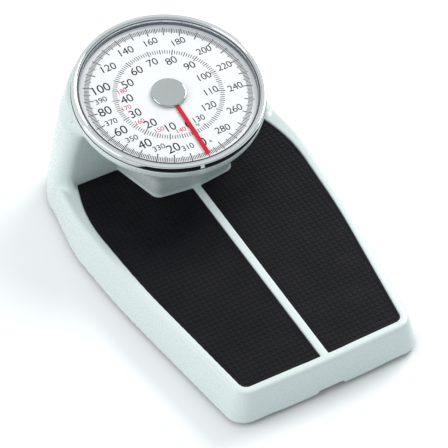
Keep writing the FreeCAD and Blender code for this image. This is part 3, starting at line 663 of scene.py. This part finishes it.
def printed_chart():
    """Pound scale outside, kilogram scale inside, and the second turn in smaller figures."""
    black = [tick_ring("pound_ticks", LB_TURN, [(10, 81.5, 92.0, 1.1), (5, 84.0, 91.2, 0.95),
                                                (1, 85.4, 90.8, 0.8)]),
             tick_ring("kilogram_ticks", KG_TURN, [(10, 53.6, 61.4, 1.0),
                                                   (5, 54.6, 60.8, 0.9),
                                                   (1, 55.4, 60.4, 0.75)])]
    pounds = [(n, n, 11.4 if n <= 100 else 9.8 if n <= 140 else 8.8) for n in range(0, 300, 20)]
    black.append(numerals("pound_numerals", LB_TURN, 73.0, pounds, 2.4))
    second = [(n, n - 300, 7.2) for n in range(310, 400, 20)]
    black.append(numerals("second_turn_pounds", LB_TURN, 73.5, second))
    kilos = [(n, n, 10.6 if n <= 60 else 9.8 if n < 100 else 9.0) for n in range(0, 130, 10)]
    kilos.append((130, 130, 7.6))
    black.append(numerals("kilogram_numerals", KG_TURN, 45.5, kilos, -0.4))
    over = [(n, n - 135, 6.0) for n in range(140, 190, 10)]
    red = [numerals("second_turn_kilograms", KG_TURN, 50.2, over)]
    black.append(lettering("unit_marks", [("lb", 10.5, -75.0, 3.6), ("kg", 8.2, -49.5, 3.4)]))
    return black, red


# ---------------------------------------------------------------- materials
def new_material(name):
    made = bpy.data.materials.new(name)
    made.use_nodes = True
    tree = made.node_tree
    shader = next(n for n in tree.nodes if n.type == "BSDF_PRINCIPLED")
    coords = tree.nodes.new("ShaderNodeTexCoord")
    return made, tree, shader, coords.outputs["Object"]


def noise(tree, coords, scale, detail=3.0, stretch=(1, 1, 1)):
    mapping = tree.nodes.new("ShaderNodeMapping")
    mapping.inputs["Scale"].default_value = stretch
    tree.links.new(coords, mapping.inputs["Vector"])
    texture = tree.nodes.new("ShaderNodeTexNoise")
    texture.inputs["Scale"].default_value = scale
    texture.inputs["Detail"].default_value = detail
    tree.links.new(mapping.outputs["Vector"], texture.inputs["Vector"])
    return texture.outputs["Fac"]


def between(tree, source, low, high, from_low=0.35, from_high=0.65):
    node = tree.nodes.new("ShaderNodeMapRange")
    tree.links.new(source, node.inputs["Value"])
    for key, value in (("From Min", from_low), ("From Max", from_high), ("To Min", low),
                       ("To Max", high)):
        node.inputs[key].default_value = value
    return node.outputs["Result"]


def two_tone(tree, source, dark, light, from_low=0.35, from_high=0.65):
    ramp = tree.nodes.new("ShaderNodeValToRGB")
    ramp.color_ramp.elements[0].position = from_low
    ramp.color_ramp.elements[0].color = (*dark, 1)
    ramp.color_ramp.elements[1].position = from_high
    ramp.color_ramp.elements[1].color = (*light, 1)
    tree.links.new(source, ramp.inputs["Fac"])
    return ramp.outputs["Color"]


def bump(tree, shader, layers):
    """Stack of (height source, depth in mm) bumps on a shader's normal."""
    normal = None
    for source, depth in layers:
        node = tree.nodes.new("ShaderNodeBump")
        node.inputs["Strength"].default_value = 1.0
        node.inputs["Distance"].default_value = depth * MM
        tree.links.new(source, node.inputs["Height"])
        if normal is not None:
            tree.links.new(normal, node.inputs["Normal"])
        normal = node.outputs["Normal"]
    tree.links.new(normal, shader.inputs["Normal"])


def finish(name, dark, light, rough, metal=0.0, patch=30, grain=900, grain_depth=0.01,
           stretch=(1, 1, 1), coat=0.0, coat_rough=0.1, specular=0.5):
    """Material with slow colour patches, uneven gloss and a fine grain."""
    made, tree, shader, coords = new_material(name)
    slow = noise(tree, coords, patch)
    fine = noise(tree, coords, grain, 4.0, stretch)
    tree.links.new(two_tone(tree, slow, dark, light), shader.inputs["Base Color"])
    tree.links.new(between(tree, fine, rough[0], rough[1]), shader.inputs["Roughness"])
    if grain_depth:
        bump(tree, shader, [(fine, grain_depth)])
    shader.inputs["Metallic"].default_value = metal
    shader.inputs["Coat Weight"].default_value = coat
    shader.inputs["Coat Roughness"].default_value = coat_rough
    shader.inputs["Specular IOR Level"].default_value = specular
    return made


def lens_material():
    made, tree, shader, coords = new_material("clear_lens")
    slow = noise(tree, coords, 20)
    tree.links.new(between(tree, slow, 0.015, 0.05), shader.inputs["Roughness"])
    shader.inputs["Base Color"].default_value = (0.02, 0.025, 0.03, 1)
    shader.inputs["Alpha"].default_value = 0.02
    shader.inputs["IOR"].default_value = 1.49
    return made


def materials():
    made = {
        "white_plastic": finish("white_plastic", (0.61, 0.675, 0.665), (0.625, 0.69, 0.68),
                                (0.24, 0.32), patch=12, grain=700, grain_depth=0.0012,
                                coat=0.25, coat_rough=0.16),
        "mat_rubber": finish("mat_rubber", (0.0045, 0.0045, 0.006), (0.0075, 0.0072, 0.009),
                             (0.42, 0.56), patch=25, grain=1500, grain_depth=0.02,
                             specular=0.10),
        "chrome": finish("chrome", (0.65, 0.68, 0.685), (0.70, 0.73, 0.735), (0.04, 0.08),
                         metal=1.0, patch=8, grain=250, grain_depth=0.0),
        # dark colour is painted shade for the bezel's inner wall
        "dark_satin_shade": finish("dark_satin_shade", (0.17, 0.20, 0.25), (0.21, 0.24, 0.29),
                             (0.22, 0.32), metal=1.0, patch=12, grain=700,
                             grain_depth=0.001),
        "button_chrome": finish("button_chrome", (0.50, 0.54, 0.525), (0.55, 0.59, 0.57),
                                (0.05, 0.08), metal=1.0, patch=10, grain=900,
                                grain_depth=0.001),
        # dark rubber for the lens gasket, and painted shadow for the gap under the bezel
        "gasket_rubber": finish("gasket_rubber", (0.02, 0.02, 0.02), (0.035, 0.035, 0.035),
                                (0.5, 0.7), grain=1200, grain_depth=0.02),
        "chart_face": finish("chart_face", (0.81, 0.81, 0.815), (0.83, 0.83, 0.835),
                             (0.55, 0.7), patch=9, grain=1800, grain_depth=0.002,
                             specular=0.15),
        "black_ink": finish("black_ink", (0.004, 0.004, 0.006), (0.008, 0.008, 0.010),
                            (0.6, 0.75), patch=60, grain=2500, grain_depth=0.002,
                            specular=0.05),
        "red_ink": finish("red_ink", (0.52, 0.02, 0.05), (0.60, 0.035, 0.07), (0.6, 0.75),
                          patch=60, grain=2500, grain_depth=0.002, specular=0.05),
        "red_paint": finish("red_paint", (0.55, 0.006, 0.02), (0.62, 0.010, 0.028),
                            (0.45, 0.55), patch=60, grain=1500, grain_depth=0.002,
                            specular=0.15),
        "plated_steel": finish("plated_steel", (0.50, 0.51, 0.50), (0.62, 0.62, 0.60),
                               (0.25, 0.42), metal=1.0, patch=45, grain=900,
                               grain_depth=0.006, stretch=(0.15, 1, 1)),
        "pan_steel": finish("pan_steel", (0.030, 0.031, 0.033), (0.045, 0.046, 0.048),
                            (0.35, 0.5), patch=20, grain=500, grain_depth=0.03, coat=0.2,
                            coat_rough=0.3),
        "brass": finish("brass", (0.62, 0.44, 0.17), (0.72, 0.53, 0.24), (0.2, 0.35),
                        metal=1.0, patch=80, grain=1200, grain_depth=0.004),
        "spring_steel": finish("spring_steel", (0.33, 0.33, 0.34), (0.44, 0.43, 0.42),
                               (0.28, 0.4), metal=1.0, patch=90, grain=1500,
                               grain_depth=0.004),
        "foot_rubber": finish("foot_rubber", (0.022, 0.022, 0.023), (0.04, 0.04, 0.041),
                              (0.6, 0.8), grain=1200, grain_depth=0.03),
        "knob_plastic": finish("knob_plastic", (0.030, 0.031, 0.034), (0.045, 0.046, 0.05),
                               (0.35, 0.5), grain=1500, grain_depth=0.02),
        "clear_lens": lens_material(),
    }
    return made


def wear(piece, look):
    piece.data.materials.clear()
    piece.data.materials.append(look)


def dress_nodes(looks):
    """Give every CAD node the procedural look of its material slot."""
    for node in frame["nodes"].values():
        for holder in node.material_slots:
            key = holder.material.name.split(".")[0] if holder.material else ""
            holder.material = looks.get(key, looks["plated_steel"])


# ---------------------------------------------------------------- stage
def area_light(name, place, aim, size, power, colour=(1, 1, 1)):
    light = bpy.data.lights.new(name, "AREA")
    light.shape = "RECTANGLE"
    light.size, light.size_y = size
    light.energy = power
    light.color = colour
    lamp = bpy.data.objects.new(name, light)
    lamp.location = place
    lamp.rotation_euler = (Vector(aim) - Vector(place)).to_track_quat("-Z", "Y").to_euler()
    bpy.context.scene.collection.objects.link(lamp)


def floor_look():
    made = finish("floor_white", (0.86, 0.86, 0.86), (0.88, 0.88, 0.88), (0.7, 0.8), patch=1,
                  grain=60, grain_depth=0.0)
    shader = next(n for n in made.node_tree.nodes if n.type == "BSDF_PRINCIPLED")
    shader.inputs["Emission Color"].default_value = (1, 1, 1, 1)
    shader.inputs["Emission Strength"].default_value = 0.02
    return made


# the room is brightest towards the back, above and a little to the left
BRIGHT_SIDE = (-0.20, 0.55, 0.81)
ROOM_DARK = (0.30, 0.38, 0.43)
ROOM_MIDDLE = (0.42, 0.47, 0.49)
ROOM_BRIGHT = (0.82, 0.85, 0.86)


def studio():
    """White table, soft overhead light, and a grey room that the bright metal mirrors."""
    bpy.context.scene.view_settings.view_transform = "Standard"
    floor = mesh_object("floor", [(-6000, -6000, 0), (6000, -6000, 0), (6000, 6000, 0),
                                  (-6000, 6000, 0)], [(0, 1, 2, 3)])
    wear(floor, floor_look())
    world = bpy.data.worlds.new("studio")
    bpy.context.scene.world = world
    world.use_nodes = True
    tree = world.node_tree
    coords = tree.nodes.new("ShaderNodeTexCoord")
    towards = tree.nodes.new("ShaderNodeVectorMath")
    towards.operation = "DOT_PRODUCT"
    towards.inputs[1].default_value = BRIGHT_SIDE
    tree.links.new(coords.outputs["Generated"], towards.inputs[0])
    ramp = tree.nodes.new("ShaderNodeValToRGB")
    first, last = ramp.color_ramp.elements
    first.position, first.color = 0.0, (*ROOM_DARK, 1)
    last.position, last.color = 0.95, (*ROOM_BRIGHT, 1)
    middle = ramp.color_ramp.elements.new(0.45)
    middle.color = (*ROOM_MIDDLE, 1)
    tree.links.new(between(tree, towards.outputs["Value"], 0, 1, -0.8, 1), ramp.inputs["Fac"])
    tree.links.new(ramp.outputs["Color"], tree.nodes["Background"].inputs["Color"])
    tree.nodes["Background"].inputs["Strength"].default_value = 1.15
    area_light("key", (1.75, 0.7, 1.55), (0, 0, 0.05), (1.2, 1.2), 40)
    area_light("left", (-1.9, 0.2, 1.1), (0, 0, 0.1), (1.6, 1.2), 16)


def camera():
    """Long-lens view from the front left, 47 degrees up."""
    data = bpy.data.cameras.new("camera")
    data.lens, data.sensor_width = 177.0, 36.0
    data.clip_end = 50
    eye = bpy.data.objects.new("camera", data)
    azimuth, elevation = math.radians(-29.16), math.radians(47.21)
    back = Vector((math.sin(azimuth) * math.cos(elevation),
                   -math.cos(azimuth) * math.cos(elevation), math.sin(elevation)))
    right = Vector((math.cos(azimuth), math.sin(azimuth), 0))
    up = back.cross(right)
    place = Matrix((right, up, back)).transposed().to_4x4()
    place.translation = Vector((-0.7795, -1.3964, 1.7680))
    eye.matrix_world = place
    bpy.context.scene.collection.objects.link(eye)
    bpy.context.scene.camera = eye


# ---------------------------------------------------------------- assembly
def body_of(node):
    return frame["nodes"][node]["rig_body"]


def place_piece(piece, look, looks, body, node=None):
    wear(piece, looks[look])
    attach(piece, body)
    if node:
        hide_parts(node)


def main():
    looks = materials()
    camera()
    studio()
    platform = body_of("platform_cover")
    place_piece(cover_shell(), "white_plastic", looks, platform,
                "platform_cover")
    for side, name in ((-1, "left"), (1, "right")):
        place_piece(mat(side, f"rubber_mat_{name}"), "mat_rubber", looks, platform,
                    f"mat_{name}")
    place_piece(bezel_ring(), "chrome", looks, body_of("dial_bezel"), "dial_bezel")
    # dark ring as painted shadow in the gap under the bezel
    place_piece(bezel_seam(), "gasket_rubber", looks, body_of("dial_bezel"))
    place_piece(lens_seam(), "gasket_rubber", looks, body_of("dial_bezel"))
    # ring darkened as painted shade on the bezel's inner wall
    place_piece(bezel_inner(), "dark_satin_shade", looks, body_of("dial_bezel"))
    place_piece(centre_button(), "button_chrome", looks, body_of("hub_cap"), "hub_cap")
    black, red = printed_chart()
    for piece in black:
        place_piece(piece, "black_ink", looks, body_of("dial_chart"))
    for piece in red:
        place_piece(piece, "red_ink", looks, body_of("dial_chart"))
    dress_nodes(looks)


main()
